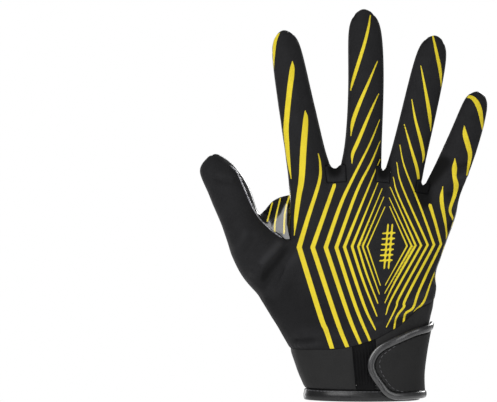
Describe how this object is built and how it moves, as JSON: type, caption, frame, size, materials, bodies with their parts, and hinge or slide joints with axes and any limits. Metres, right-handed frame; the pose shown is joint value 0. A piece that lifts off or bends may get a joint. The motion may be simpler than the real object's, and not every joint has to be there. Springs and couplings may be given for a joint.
{
  "type": "football receiver glove",
  "caption": "Right-hand football receiver glove, shown filled, with a striped back, a glossy silicone grip palm and a hook-and-loop wrist tab.",
  "frame": {"origin": "centre of the wrist opening, at the lower edge of the cuff's hem", "axes": "+Z from the wrist to the fingertips, +X to the little finger's side, -Y out of the back of the hand, +Y out of the palm"},
  "size_m": [0.1663, 0.0452, 0.2248],
  "materials": {
    "printed_fabric": "smooth stretch knit, black with yellow printed stripes",
    "silicone_palm": "glossy silicone coating, black with yellow stripes",
    "side_fabric": "plain matte stretch knit",
    "cuff_fabric": "matte fine-grained laminated fabric",
    "coated_binding": "satin coated leatherette",
    "elastic": "shirred elastic, matte",
    "strap_fabric": "matte leatherette-faced tab"
  },
  "bodies": {
    "root": {"back_panel": "printed_fabric", "palm_panel": "silicone_palm", "fourchette_index_middle": "side_fabric", "fourchette_middle_ring": "side_fabric", "fourchette_ring_little": "side_fabric", "thumb_gusset": "side_fabric", "cuff_band": "cuff_fabric", "cuff_binding": "coated_binding", "elastic_panel": "elastic", "closure_strap": "strap_fabric", "strap_binding": "coated_binding"}
  },
  "joints": []
}
